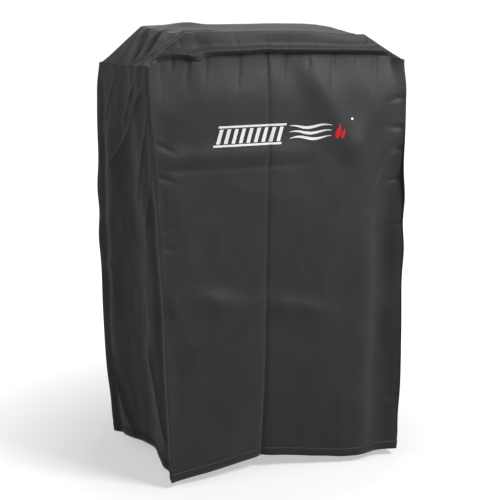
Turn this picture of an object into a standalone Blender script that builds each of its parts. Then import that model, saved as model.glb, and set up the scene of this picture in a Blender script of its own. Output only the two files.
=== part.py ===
"""Electric cabinet smoker standing under its fitted fabric cover.

Run with: blender --background --python part.py

The frame is metres, +Z up, the door facing -Y, +X to the right of someone facing the door.
The origin is on the ground, at the centre of the cover's footprint.
"""

import math

import bmesh
import bpy
from mathutils import Matrix, Vector

# ---------------------------------------------------------------- driving dimensions
GAP = 0.0003  # clearance left between pieces that touch

COVER_WIDTH = 0.590
COVER_DEPTH = 0.385
COVER_TOP_Z = 1.000
SHOULDER_Z = 0.927  # seam where the sloping top meets the hanging panels
HEM_Z = 0.014
HEM_HEIGHT = 0.016
CLOTH = 0.003  # thickness of the cover's solids
TRIM_PROUD = 0.0012  # how far the hem stands out from the panels

CABINET_WIDTH = 0.416
BODY_FRONT_Y = -0.115
BODY_BACK_Y = 0.150
BODY_BOTTOM_Z = 0.130
ROOF_BOTTOM_Z = 0.955
ROOF_TOP_Z = 0.985
ROOF_FRONT_Y = -0.175
SHEET = 0.0015
LINER_SHEET = 0.001
LINER_WIDTH = 0.374
LINER_BACK_Y = 0.130
LINER_BOTTOM_Z = 0.150
LINER_TOP_Z = 0.935

DOOR_FRONT_Y = -0.158
DOOR_BACK_Y = -0.122
DOOR_LEFT_X = -0.2075
DOOR_RIGHT_X = 0.2045
DOOR_BOTTOM_Z = 0.135
DOOR_TOP_Z = 0.950
HINGE_X = 0.214
HINGE_Y = -0.156
HINGE_HEIGHT = 0.060
HINGE_CENTRES_Z = (0.820, 0.270)
KNUCKLE_RADIUS = 0.0045
PIN_RADIUS = 0.0020
LATCH_X = -0.178
LATCH_Z = 0.560

GAUGE_X = 0.0
GAUGE_Z = 0.780
GAUGE_RADIUS = 0.032
STEM_RADIUS = 0.003
NEEDLE_COLD = 120.0  # degrees anticlockwise of upright when cold

VENT_X = -0.115
VENT_Y = 0.085
VENT_RADIUS = 0.0195
DAMPER_PIVOT_X = VENT_X + 0.034
DRAIN_RADIUS = 0.008
ELEMENT_Z = 0.185

LEDGES_Z = (0.370, 0.470, 0.620, 0.770)  # the lowest holds the water pan
GRATE_THICKNESS = 0.005

CONTROL_Y = (-0.030, 0.090)
CONTROL_Z = (0.190, 0.290)
CONTROL_X = (CABINET_WIDTH / 2, 0.250)
DIAL_Y = 0.000
SWITCH_Y = 0.060
SWITCH_Z = 0.255
ROCKER_TILT = 6.0  # degrees either side of flat
LAMP_Z = 0.215
DIAL_Z = 0.245

HANDLE_Z = 0.905
HANDLE_REACH = 0.276
HANDLE_HALF_SPAN = 0.095
HANDLE_RADIUS = 0.007

LEG_X = 0.165
LEG_Y = -0.085
LEG_SIDE = 0.028
FOOT_RADIUS = 0.018
FOOT_HEIGHT = 0.0217
AXLE_Y = 0.110
WHEEL_RADIUS = 0.050
WHEEL_WIDTH = 0.022
WHEEL_X = 0.186
AXLE_RADIUS = 0.005

TRAY_HALF_WIDTH = 0.140
TRAY_Y = (-0.068, 0.132)
TRAY_Z = (0.098, 0.1180)

COLOURS = {  # base colour, roughness, metallic
    "cover_fabric": ((0.045, 0.045, 0.047), 0.62, 0.0),
    "cover_trim": ((0.030, 0.030, 0.032), 0.70, 0.0),
    "black_enamel": ((0.020, 0.020, 0.022), 0.38, 0.2),
    "stainless": ((0.60, 0.60, 0.60), 0.30, 1.0),
    "chrome_wire": ((0.75, 0.75, 0.77), 0.15, 1.0),
    "insulation": ((0.75, 0.72, 0.55), 0.95, 0.0),
    "black_plastic": ((0.025, 0.025, 0.025), 0.45, 0.0),
    "rubber": ((0.030, 0.030, 0.030), 0.80, 0.0),
    "gauge_face": ((0.90, 0.90, 0.88), 0.50, 0.0),
    "gauge_glass": ((0.85, 0.90, 0.92), 0.05, 0.0),
    "needle_red": ((0.70, 0.05, 0.03), 0.40, 0.0),
    "lamp_red": ((0.80, 0.05, 0.03), 0.25, 0.0),
}

# ---------------------------------------------------------------- scene and helpers
for old in list(bpy.data.objects):
    bpy.data.objects.remove(old)

parts = bpy.data.collections.new("electric_cabinet_smoker")
helpers = bpy.data.collections.new("cutters")
for collection in (parts, helpers):
    bpy.context.scene.collection.children.link(collection)


def material(name):
    """The Principled material of that name, made on first use."""
    found = bpy.data.materials.get(name)
    if found:
        return found
    colour, roughness, metallic = COLOURS[name]
    made = bpy.data.materials.new(name)
    made.use_nodes = True
    shader = made.node_tree.nodes["Principled BSDF"]
    shader.inputs["Base Color"].default_value = (*colour, 1.0)
    shader.inputs["Roughness"].default_value = roughness
    shader.inputs["Metallic"].default_value = metallic
    return made


def add_object(name, data, finish=None):
    """Links an object: a part if it has a finish, a hidden helper if it has none."""
    obj = bpy.data.objects.new(name, data)
    if finish is None:
        helpers.objects.link(obj)
        obj.hide_render = True
        obj.display_type = "WIRE"
    else:
        parts.objects.link(obj)
        data.materials.append(material(finish))
    return obj


def mesh_object(name, bm, finish=None, smooth=False):
    mesh = bpy.data.meshes.new(name)
    bmesh.ops.recalc_face_normals(bm, faces=bm.faces)
    if bm.calc_volume(signed=True) < 0:
        bmesh.ops.reverse_faces(bm, faces=bm.faces)
    bm.to_mesh(mesh)
    bm.free()
    if smooth:
        mesh.shade_smooth()
        mesh.set_sharp_from_angle(angle=math.radians(35))
    return add_object(name, mesh, finish)


def box(name, low, high, finish=None, bevel=0.0, segments=2):
    """A box between two corners, with rounded edges if bevel is given."""
    bm = bmesh.new()
    bmesh.ops.create_cube(bm, size=1.0)
    low, high = Vector(low), Vector(high)
    bmesh.ops.scale(bm, vec=high - low, verts=bm.verts)
    bmesh.ops.translate(bm, vec=(low + high) / 2, verts=bm.verts)
    obj = mesh_object(name, bm, finish)
    if bevel:
        round_edges(obj, bevel, segments)
    return obj


def round_edges(obj, width, segments=2):
    modifier = obj.modifiers.new("round_edges", "BEVEL")
    modifier.width = width
    modifier.segments = segments
    modifier.limit_method = "ANGLE"
    modifier.angle_limit = math.radians(40)


TURN_TO = {
    "X": Matrix.Rotation(math.radians(90), 4, "Y"),
    "Y": Matrix.Rotation(math.radians(-90), 4, "X"),
    "Z": Matrix.Identity(4),
}


def rod(name, start, length, radius, axis, finish=None, sides=16, end_radius=None):
    """A round bar, or a cone if end_radius is given, from start along +axis."""
    bm = bmesh.new()
    bmesh.ops.create_cone(
        bm,
        cap_ends=True,
        segments=sides,
        radius1=radius,
        radius2=radius if end_radius is None else end_radius,
        depth=length,
    )
    bmesh.ops.translate(bm, vec=(0, 0, length / 2), verts=bm.verts)
    bm.transform(Matrix.Translation(Vector(start)) @ TURN_TO[axis])
    return mesh_object(name, bm, finish, smooth=True)


def open_box(name, low, high, missing, wall, finish, bevel=0.0):
    """A thin-walled box with one face missing, such as "+Z" for a pan; the wall grows inwards."""
    bm = bmesh.new()
    bmesh.ops.create_cube(bm, size=1.0)
    low, high = Vector(low), Vector(high)
    bmesh.ops.scale(bm, vec=high - low, verts=bm.verts)
    bmesh.ops.translate(bm, vec=(low + high) / 2, verts=bm.verts)
    index = "XYZ".index(missing[1])
    sign = 1 if missing[0] == "+" else -1
    bmesh.ops.recalc_face_normals(bm, faces=bm.faces)
    gone = [f for f in bm.faces if f.normal[index] * sign > 0.9]
    bmesh.ops.delete(bm, geom=gone, context="FACES")
    mesh = bpy.data.meshes.new(name)
    bm.to_mesh(mesh)
    bm.free()
    obj = add_object(name, mesh, finish)
    if bevel:
        round_edges(obj, bevel)
    thicken(obj, wall)
    return obj


def thicken(obj, wall, offset=-1.0):
    modifier = obj.modifiers.new("wall", "SOLIDIFY")
    modifier.thickness = wall
    modifier.offset = offset
    modifier.use_even_offset = True


def boolean(obj, other, operation):
    modifier = obj.modifiers.new(operation.lower(), "BOOLEAN")
    modifier.operation = operation
    modifier.solver = "EXACT"
    modifier.object = other
    return obj


def cut(obj, *cutters):
    for cutter in cutters:
        boolean(obj, cutter, "DIFFERENCE")
    return obj


def fuse(obj, *others):
    for other in others:
        boolean(obj, other, "UNION")
    return obj


def tube(name, points, radius, finish, cyclic=False, resolution=2):
    """A round wire or tube along straight runs between points."""
    curve = bpy.data.curves.new(name, "CURVE")
    curve.dimensions = "3D"
    curve.bevel_depth = radius
    curve.bevel_resolution = resolution
    curve.use_fill_caps = not cyclic
    spline = curve.splines.new("POLY")
    spline.points.add(len(points) - 1)
    for point, place in zip(spline.points, points):
        point.co = (*place, 1.0)
    spline.use_cyclic_u = cyclic
    return add_object(name, curve, finish)


def arc(centre, radius, start_deg, end_deg, steps):
    """Points of a flat arc, both ends included."""
    found = []
    for step in range(steps + 1):
        angle = math.radians(start_deg + (end_deg - start_deg) * step / steps)
        found.append((centre[0] + radius * math.cos(angle), centre[1] + radius * math.sin(angle)))
    return found


def rounded_rectangle(half_width, half_height, radius, steps=4, centre=(0.0, 0.0)):
    """Corner arcs of a rectangle, anticlockwise from its right-hand top corner."""
    cx, cy = centre
    reach_x, reach_y = half_width - radius, half_height - radius
    corners = ((1, 1, 0), (-1, 1, 90), (-1, -1, 180), (1, -1, 270))
    found = []
    for sx, sy, start in corners:
        found += arc((cx + sx * reach_x, cy + sy * reach_y), radius, start, start + 90, steps)
    return found


def flat_plate(name, outlines, thickness, place, finish, turn=None):
    """A plate cut to the first outline, with the others as holes, lying about z = 0 before it is placed."""
    curve = bpy.data.curves.new(name, "CURVE")
    curve.dimensions = "2D"
    curve.fill_mode = "BOTH"
    curve.extrude = thickness / 2
    for outline in outlines:
        spline = curve.splines.new("POLY")
        spline.points.add(len(outline) - 1)
        for point, (u, v) in zip(spline.points, outline):
            point.co = (u, v, 0.0, 1.0)
        spline.use_cyclic_u = True
    obj = add_object(name, curve, finish)
    obj.location = place
    if turn:
        obj.rotation_euler = turn
    return obj


def as_mesh(obj, finish):
    """The curve object turned into a welded mesh object of the same name, so that it can take a Boolean."""
    bpy.context.view_layer.update()
    graph = bpy.context.evaluated_depsgraph_get()
    mesh = bpy.data.meshes.new_from_object(obj.evaluated_get(graph))
    bm = bmesh.new()
    bm.from_mesh(mesh)
    bmesh.ops.remove_doubles(bm, verts=bm.verts, dist=1e-6)
    bm.to_mesh(mesh)
    bm.free()
    name, place = obj.name, obj.matrix_world.copy()
    bpy.data.objects.remove(obj)
    mesh.materials.clear()
    made = add_object(name, mesh, finish)
    made.matrix_world = place
    return made


def turned(name, profile, axis_point, axis, finish, sides=32):
    """A turned piece: profile is a closed loop of (radius, height) about the axis."""
    bm = bmesh.new()
    verts = [bm.verts.new((radius, 0.0, height)) for radius, height in reversed(profile)]
    for first, second in zip(verts, verts[1:] + verts[:1]):
        bm.edges.new((first, second))
    mesh = bpy.data.meshes.new(name)
    bm.to_mesh(mesh)
    bm.free()
    obj = add_object(name, mesh, finish)
    obj.matrix_world = Matrix.Translation(Vector(axis_point)) @ TURN_TO[axis]
    screw = obj.modifiers.new("turn", "SCREW")
    screw.steps = sides
    screw.render_steps = sides
    screw.use_merge_vertices = True
    screw.merge_threshold = 0.00001
    screw.use_smooth_shade = False
    return obj


def ride_on(name, axis_point, *riders):
    """Parents pieces to an empty on their joint's axis."""
    axis = bpy.data.objects.new(name, None)
    axis.location = axis_point
    axis.empty_display_size = 0.03
    parts.objects.link(axis)
    bpy.context.view_layer.update()
    for rider in riders:
        piece = bpy.data.objects[rider]
        piece.parent = axis
        piece.matrix_parent_inverse = axis.matrix_world.inverted()


# ---------------------------------------------------------------- the fabric cover
def cover_top_panel():
    """Top panel: flat where it lies on the roof, sloping down to the shoulder seam all round."""
    half_width = COVER_WIDTH / 2 - TRIM_PROUD
    half_depth = COVER_DEPTH / 2 - TRIM_PROUD
    roof_half = CABINET_WIDTH / 2 + 0.002
    levels = (
        (-half_width, -half_depth, half_width, half_depth, SHOULDER_Z),
        (-half_width, -half_depth, half_width, half_depth, SHOULDER_Z + 0.006),
        (-roof_half, -half_depth + 0.004, roof_half, BODY_BACK_Y + 0.006, COVER_TOP_Z),
    )
    bm = bmesh.new()
    rings = [
        [bm.verts.new(p) for p in ((x0, y0, z), (x1, y0, z), (x1, y1, z), (x0, y1, z))]
        for x0, y0, x1, y1, z in levels
    ]
    for lower, upper in zip(rings, rings[1:]):
        for side in range(4):
            following = (side + 1) % 4
            bm.faces.new((lower[side], lower[following], upper[following], upper[side]))
    bm.faces.new(rings[-1])
    mesh = bpy.data.meshes.new("cover_top_panel")
    bmesh.ops.recalc_face_normals(bm, faces=bm.faces)
    bm.to_mesh(mesh)
    bm.free()
    obj = add_object("cover_top_panel", mesh, "cover_fabric")
    thicken(obj, CLOTH)


def cover_hanging_panels():
    """Front, back and side panels, which hang from the shoulder seam to the hem."""
    x = COVER_WIDTH / 2 - TRIM_PROUD
    y = COVER_DEPTH / 2 - TRIM_PROUD
    low, high = HEM_Z + HEM_HEIGHT + GAP, SHOULDER_Z - GAP
    for name, outer in (("cover_front_panel", -y), ("cover_back_panel", y)):
        inner = outer + CLOTH if outer < 0 else outer - CLOTH
        box(name, (-x, min(outer, inner), low), (x, max(outer, inner), high), "cover_fabric")
    reach = y - CLOTH - GAP
    for name, outer in (("cover_left_panel", -x), ("cover_right_panel", x)):
        inner = outer + CLOTH if outer < 0 else outer - CLOTH
        box(name, (min(outer, inner), -reach, low), (max(outer, inner), reach, high), "cover_fabric")


def cover_hem_binding():
    """Doubled strip sewn round the bottom edge of the cover."""
    x, y = COVER_WIDTH / 2, COVER_DEPTH / 2
    strip = CLOTH + TRIM_PROUD
    ring = box("cover_hem_binding", (-x, -y, HEM_Z), (x, y, HEM_Z + HEM_HEIGHT), "cover_trim")
    cut(ring, box("hem_inside", (-x + strip, -y + strip, HEM_Z - 0.01), (x - strip, y - strip, HEM_Z + 0.05)))


# ---------------------------------------------------------------- the cabinet
HALF = CABINET_WIDTH / 2
SIDE_OUTER = HALF - 0.0005
SIDE_INNER = SIDE_OUTER - SHEET
WALL_TOP = ROOF_BOTTOM_Z - GAP


def through_holes():
    """Cutters for the holes that pass through several walls: the vent and the drain."""
    vent = rod("vent_hole", (VENT_X, VENT_Y, LINER_TOP_Z - 0.02), 0.09, VENT_RADIUS, "Z", sides=24)
    drain = rod("drain_hole", (0, 0.03, BODY_BOTTOM_Z - 0.02), 0.06, DRAIN_RADIUS, "Z", sides=12)
    return vent, drain


def cabinet_shell(vent, drain):
    """Sheet-steel casing wrapped round the back, its roof, the stainless liner, the wool between, and four front rails."""
    casing = box(
        "outer_casing", (-SIDE_OUTER, BODY_FRONT_Y, BODY_BOTTOM_Z), (SIDE_OUTER, BODY_BACK_Y, WALL_TOP), "black_enamel"
    )
    hollow = box(
        "casing_hollow",
        (-SIDE_INNER, BODY_FRONT_Y - 0.02, BODY_BOTTOM_Z + SHEET),
        (SIDE_INNER, BODY_BACK_Y - SHEET, WALL_TOP + 0.02),
    )
    cut(casing, hollow, drain)
    inside = SIDE_INNER - GAP
    back_inner = BODY_BACK_Y - SHEET
    roof = open_box(
        "roof_cap",
        (-HALF, ROOF_FRONT_Y, ROOF_BOTTOM_Z),
        (HALF, BODY_BACK_Y + 0.002, ROOF_TOP_Z),
        "-Z",
        SHEET,
        "black_enamel",
        bevel=0.006,
    )
    pivot = rod("damper_rivet_hole", (DAMPER_PIVOT_X, VENT_Y, ROOF_TOP_Z - 0.01), 0.02, 0.0028, "Z", sides=12)
    cut(roof, vent, pivot)
    liner = open_box(
        "inner_liner",
        (-LINER_WIDTH / 2, BODY_FRONT_Y, LINER_BOTTOM_Z),
        (LINER_WIDTH / 2, LINER_BACK_Y, LINER_TOP_Z),
        "-Y",
        LINER_SHEET,
        "stainless",
    )
    cut(liner, vent, drain)
    wool = box(
        "insulation_blanket",
        (-inside + GAP, BODY_FRONT_Y + GAP, BODY_BOTTOM_Z + SHEET + GAP),
        (inside - GAP, back_inner - GAP, ROOF_TOP_Z - SHEET - GAP - 0.004),
        "insulation",
    )
    around_liner = box(
        "space_for_liner",
        (-LINER_WIDTH / 2 - GAP, BODY_FRONT_Y - 0.02, LINER_BOTTOM_Z - GAP),
        (LINER_WIDTH / 2 + GAP, LINER_BACK_Y + GAP, LINER_TOP_Z + GAP),
    )
    collar_space = rod("collar_space", (VENT_X, VENT_Y, LINER_TOP_Z - 0.01), 0.07, 0.0225, "Z", sides=24)
    cut(wool, around_liner, collar_space, drain)
    frame_y = BODY_FRONT_Y - GAP
    mouth = LINER_WIDTH / 2 - 0.0005
    low, high = LINER_BOTTOM_Z + 0.0005, LINER_TOP_Z - 0.0005
    for rail, x0, x1, z0, z1 in (
        ("top", -SIDE_OUTER, SIDE_OUTER, high, WALL_TOP),
        ("bottom", -SIDE_OUTER, SIDE_OUTER, BODY_BOTTOM_Z, low),
        ("left", -SIDE_OUTER, -mouth, low + GAP, high - GAP),
        ("right", mouth, SIDE_OUTER, low + GAP, high - GAP),
    ):
        box(f"front_rail_{rail}", (x0, frame_y - 0.0012, z0), (x1, frame_y, z1), "black_enamel")


def vent():
    """Smoke vent: a collar through the roof wool, and a disc that swings aside on a rivet."""
    low = LINER_TOP_Z + GAP
    high = ROOF_TOP_Z - SHEET - GAP
    turned(
        "vent_collar",
        ((VENT_RADIUS, 0.0), (0.0213, 0.0), (0.0213, high - low), (VENT_RADIUS, high - low)),
        (VENT_X, VENT_Y, low),
        "Z",
        "stainless",
        sides=24,
    )
    base = ROOF_TOP_Z + GAP
    disc = rod("vent_damper", (VENT_X, VENT_Y, base), 0.0018, 0.025, "Z", "black_enamel", sides=28)
    arm = box("damper_arm", (VENT_X, VENT_Y - 0.008, base + 0.0001), (DAMPER_PIVOT_X + 0.008, VENT_Y + 0.008, base + 0.0017))
    lip = box("damper_lip", (VENT_X - 0.036, VENT_Y - 0.006, base + 0.0001), (VENT_X - 0.015, VENT_Y + 0.006, base + 0.0050), bevel=0.001)
    shank = rod("rivet_shank", (DAMPER_PIVOT_X, VENT_Y, ROOF_TOP_Z - 0.004), 0.0055, 0.0025, "Z", sides=12)
    head = rod("rivet_head", (DAMPER_PIVOT_X, VENT_Y, base + 0.0014), 0.0018, 0.005, "Z", sides=12)
    fuse(disc, arm, lip, shank, head)


def rack_ladder(name, side):
    """Rack support on one side wall: two uprights and a ledge for each level."""
    wall = LINER_WIDTH / 2 - LINER_SHEET - GAP
    thin = 0.0020

    def strip(label, x_near, x_far, y0, y1, z0, z1, finish=None):
        x0, x1 = sorted((side * x_near, side * x_far))
        return box(label, (x0, y0, z0), (x1, y1, z1), finish)

    low, high = LEDGES_Z[0] - 0.03, LEDGES_Z[-1] + 0.03
    ladder = strip(name, wall - thin, wall, -0.080, -0.068, low, high, "chrome_wire")
    pieces = [strip(name + "_rear", wall - thin, wall, 0.098, 0.110, low, high)]
    for level, z in enumerate(LEDGES_Z):
        top = z - GAP
        pieces.append(strip(f"{name}_ledge_{level}", wall - 0.015, wall - 0.0002, -0.090, 0.120, top - thin, top))
    fuse(ladder, *pieces)


def cooking_grate(name, z):
    """Flat cooking grate: a rim with parallel bars from front to back."""
    half_width, half_depth = 0.179, 0.1075
    rim, bar, bars = 0.006, 0.004, 13
    inner_width = 2 * (half_width - rim)
    slot = (inner_width - bars * bar) / (bars + 1)
    outlines = [rounded_rectangle(half_width, half_depth, 0.012, steps=3)]
    for number in range(bars + 1):
        left = -half_width + rim + number * (slot + bar)
        for y0, y1 in ((-half_depth + rim, -bar / 2), (bar / 2, half_depth - rim)):
            outlines.append([(left, y0), (left, y1), (left + slot, y1), (left + slot, y0)])
    plate = flat_plate(name, outlines, GRATE_THICKNESS, (0, 0.015, z + GRATE_THICKNESS / 2), "chrome_wire")
    as_mesh(plate, "chrome_wire")


def water_pan():
    """Pressed pan whose rim hangs on the lowest ledges."""
    z = LEDGES_Z[0]
    pan = open_box(
        "water_pan", (-0.158, -0.085, z - 0.060), (0.158, 0.112, z + 0.0012), "+Z", 0.0012, "stainless", bevel=0.010
    )
    rim = box("pan_rim", (-0.180, -0.092, z), (0.180, 0.119, z + 0.0013))
    middle = box("pan_mouth", (-0.1568, -0.0838, z - 0.01), (0.1568, 0.1108, z + 0.01))
    boolean(rim, middle, "DIFFERENCE")
    fuse(pan, rim)


def burner():
    """Tubular heating element on its flange, the bridge over it, and the wood-chip box on the bridge."""
    reach_y, back_y = -0.050, LINER_BACK_Y - LINER_SHEET - GAP - 0.003
    bend = 0.045
    points = [(-bend, back_y + 0.001, ELEMENT_Z)]
    for u, v in arc((0.0, reach_y + bend), bend, 180, 360, 12):
        points.append((u, v, ELEMENT_Z))
    points.append((bend, back_y + 0.001, ELEMENT_Z))
    element = tube("heating_element", points, 0.004, "stainless", resolution=2)
    flange = box("element_flange", (-0.060, back_y, ELEMENT_Z - 0.024), (0.060, back_y + 0.003, ELEMENT_Z + 0.024))
    fuse(as_mesh(element, "stainless"), flange)
    floor_z = LINER_BOTTOM_Z + LINER_SHEET + GAP
    top = 0.206
    bridge = box("burner_bridge", (-0.110, -0.075, top - 0.0015), (0.110, 0.100, top), "stainless")
    legs = [
        box(f"bridge_leg_{i}", (x, -0.0748, floor_z), (x + 0.0015, 0.0998, top - 0.0002))
        for i, x in enumerate((-0.1098, 0.1083))
    ]
    fuse(bridge, *legs)
    chip_low = top + GAP
    open_box(
        "chip_box", (-0.075, -0.055, chip_low), (0.075, 0.075, chip_low + 0.038), "+Z", 0.0012, "black_enamel", bevel=0.004
    )
    lid_z = chip_low + 0.038 + GAP
    lid = box("chip_box_lid", (-0.077, -0.057, lid_z), (0.077, 0.077, lid_z + 0.0015), "black_enamel")
    holes = [
        rod(f"lid_hole_{i}_{j}", (x, y, lid_z - 0.01), 0.02, 0.007, "Z", sides=10)
        for i, x in enumerate((-0.045, 0.0, 0.045))
        for j, y in enumerate((-0.025, 0.035))
    ]
    cut(lid, *holes)


def control_unit():
    """Plug-in controller on the right-hand wall: housing, thermostat dial, power rocker, lamp and inlet."""
    x0, x1 = CONTROL_X[0], CONTROL_X[1]
    housing = open_box(
        "control_housing",
        (x0, CONTROL_Y[0], CONTROL_Z[0]),
        (x1, CONTROL_Y[1], CONTROL_Z[1]),
        "-X",
        0.002,
        "black_plastic",
        bevel=0.004,
    )
    rocker_half = (0.0060, 0.0095)
    cut(
        housing,
        rod("dial_hole", (x1 - 0.01, DIAL_Y, DIAL_Z), 0.02, 0.0038, "X", sides=16),
        rod("lamp_hole", (x1 - 0.01, SWITCH_Y, LAMP_Z), 0.02, 0.0044, "X", sides=16),
        box(
            "rocker_hole",
            (x1 - 0.01, SWITCH_Y - rocker_half[0] - 0.0008, SWITCH_Z - rocker_half[1] - 0.0015),
            (x1 + 0.01, SWITCH_Y + rocker_half[0] + 0.0008, SWITCH_Z + rocker_half[1] + 0.0015),
        ),
        box("inlet_hole", (x0 + 0.0060, 0.012, CONTROL_Z[0] - 0.01), (x0 + 0.0360, 0.042, CONTROL_Z[0] + 0.01)),
    )
    dial = rod("control_dial", (x1 + 0.0015, DIAL_Y, DIAL_Z), 0.016, 0.021, "X", "black_plastic", 32, 0.018)
    shaft = rod("dial_shaft", (x1 - 0.0195, DIAL_Y, DIAL_Z), 0.025, 0.0032, "X", sides=12)
    ridge = box("dial_ridge", (x1 + 0.012, DIAL_Y - 0.0025, DIAL_Z - 0.016), (x1 + 0.0215, DIAL_Y + 0.0025, DIAL_Z + 0.016), bevel=0.0012)
    fuse(dial, shaft, ridge)
    rocker = box(
        "power_rocker",
        (x1 - 0.0080, SWITCH_Y - rocker_half[0], SWITCH_Z - rocker_half[1]),
        (x1 + 0.0025, SWITCH_Y + rocker_half[0], SWITCH_Z + rocker_half[1]),
        "black_plastic",
    )
    round_edges(rocker, 0.0012)
    pivot = Vector((x1 - 0.003, SWITCH_Y, SWITCH_Z))
    tilt = Matrix.Translation(pivot) @ Matrix.Rotation(math.radians(-ROCKER_TILT), 4, "Y")
    rocker.data.transform(tilt @ Matrix.Translation(-pivot))
    rod("indicator_lamp", (x1 - 0.008, SWITCH_Y, LAMP_Z), 0.011, 0.004, "X", "lamp_red", 16, 0.0034)
    inlet = box(
        "power_inlet",
        (x0 + 0.0063, 0.0123, CONTROL_Z[0] - 0.0015),
        (x0 + 0.0357, 0.0417, CONTROL_Z[0] + 0.020),
        "black_plastic",
    )
    socket = box("inlet_socket", (x0 + 0.0110, 0.0165, CONTROL_Z[0] - 0.01), (x0 + 0.0310, 0.0375, CONTROL_Z[0] + 0.014))
    cut(inlet, socket)


def side_handle(name, side):
    """Bent tube handle bolted near the top of a side wall; it also holds the cover out."""
    bend = 0.025
    foot_x = HALF
    points = [(foot_x, -HANDLE_HALF_SPAN)]
    points += arc((HANDLE_REACH - bend, -HANDLE_HALF_SPAN + bend), bend, -90, 0, 4)
    points += arc((HANDLE_REACH - bend, HANDLE_HALF_SPAN - bend), bend, 0, 90, 4)
    points.append((foot_x, HANDLE_HALF_SPAN))
    tube(name, [(side * u, v + 0.01, HANDLE_Z) for u, v in points], HANDLE_RADIUS, "black_enamel", resolution=2)


def undercarriage():
    """Welded leg frame on two rubber feet in front, and brackets with an axle and two wheels behind."""
    top = BODY_BOTTOM_Z - GAP
    half = LEG_SIDE / 2
    legs = [
        box(
            f"leg_{i}",
            (side * LEG_X - half, LEG_Y - half, FOOT_HEIGHT + GAP),
            (side * LEG_X + half, LEG_Y + half, top),
        )
        for i, side in enumerate((-1, 1))
    ]
    frame = box("leg_frame", (-LEG_X, LEG_Y - half + 0.001, top - 0.022), (LEG_X, LEG_Y + half - 0.001, top), "black_enamel")
    fuse(frame, *legs)
    round_edges(frame, 0.002, 1)
    for name, side in (("foot_left", -1), ("foot_right", 1)):
        rod(name, (side * LEG_X, LEG_Y, 0.0), FOOT_HEIGHT, FOOT_RADIUS, "Z", "rubber", 20, 0.014)
    for name, side in (("axle_bracket_left", -1), ("axle_bracket_right", 1)):
        x0, x1 = sorted((side * 0.158, side * 0.162))
        bracket = box(name, (x0, AXLE_Y - 0.022, WHEEL_RADIUS - 0.012), (x1, AXLE_Y + 0.022, top), "black_enamel")
        cut(bracket, rod(name + "_bore", (x0 - 0.01, AXLE_Y, WHEEL_RADIUS), 0.03, AXLE_RADIUS + GAP, "X", sides=16))
    wheel_outer = WHEEL_X + WHEEL_WIDTH / 2
    axle = rod("axle", (-wheel_outer - 0.006, AXLE_Y, WHEEL_RADIUS), 2 * wheel_outer + 0.012, AXLE_RADIUS, "X", "stainless")
    nuts = [
        rod("axle_nut_left", (-wheel_outer - 0.005, AXLE_Y, WHEEL_RADIUS), 0.004, 0.009, "X", sides=6),
        rod("axle_nut_right", (wheel_outer + 0.001, AXLE_Y, WHEEL_RADIUS), 0.004, 0.009, "X", sides=6),
    ]
    fuse(axle, *nuts)
    half, bore = WHEEL_WIDTH / 2, AXLE_RADIUS + GAP
    profile = (
        (bore, -half),
        (0.012, -half),
        (0.014, -half + 0.006),
        (0.036, -half + 0.006),
        (0.038, -half + 0.001),
        (WHEEL_RADIUS - 0.003, -half),
        (WHEEL_RADIUS, -half + 0.004),
        (WHEEL_RADIUS, half - 0.004),
        (WHEEL_RADIUS - 0.003, half),
        (0.038, half - 0.001),
        (0.036, half - 0.006),
        (0.014, half - 0.006),
        (0.012, half),
        (bore, half),
    )
    for name, side in (("wheel_left", -1), ("wheel_right", 1)):
        turned(name, profile, (side * WHEEL_X, AXLE_Y, WHEEL_RADIUS), "X", "rubber", sides=36)


def grease_tray():
    """Drip tray that slides out backwards on a runner under the casing."""
    tray = open_box(
        "grease_tray",
        (-TRAY_HALF_WIDTH, TRAY_Y[0], TRAY_Z[0]),
        (TRAY_HALF_WIDTH, TRAY_Y[1], TRAY_Z[1] + 0.0012),
        "+Z",
        0.0012,
        "stainless",
        bevel=0.003,
    )
    flanges = [
        box(f"tray_flange_{i}", (min(a, b), TRAY_Y[0] + 0.004, TRAY_Z[1] - 0.0002), (max(a, b), TRAY_Y[1] - 0.004, TRAY_Z[1] + 0.0010))
        for i, (a, b) in enumerate(((-TRAY_HALF_WIDTH - 0.007, -TRAY_HALF_WIDTH + 0.0006), (TRAY_HALF_WIDTH - 0.0006, TRAY_HALF_WIDTH + 0.007)))
    ]
    fuse(tray, *flanges)
    rail_low = TRAY_Z[1] - 0.0035
    rail_top = BODY_BOTTOM_Z - GAP
    stop = box("tray_runner", (-0.1493, TRAY_Y[0] - 0.0020, rail_low), (0.1493, TRAY_Y[0] - 0.0005, rail_top), "black_enamel")
    for side in (-1, 1):
        near, far, lip = side * 0.1478, side * 0.1493, side * 0.1420
        web = box(
            f"rail_web_{side}",
            (min(near, far), TRAY_Y[0] - 0.0018, rail_low),
            (max(near, far), 0.1400, rail_top),
        )
        ledge = box(
            f"rail_ledge_{side}",
            (min(lip, far), TRAY_Y[0] - 0.0016, rail_low),
            (max(lip, far), 0.1400, TRAY_Z[1] - 0.0002 - GAP),
        )
        fuse(stop, web, ledge)


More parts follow.
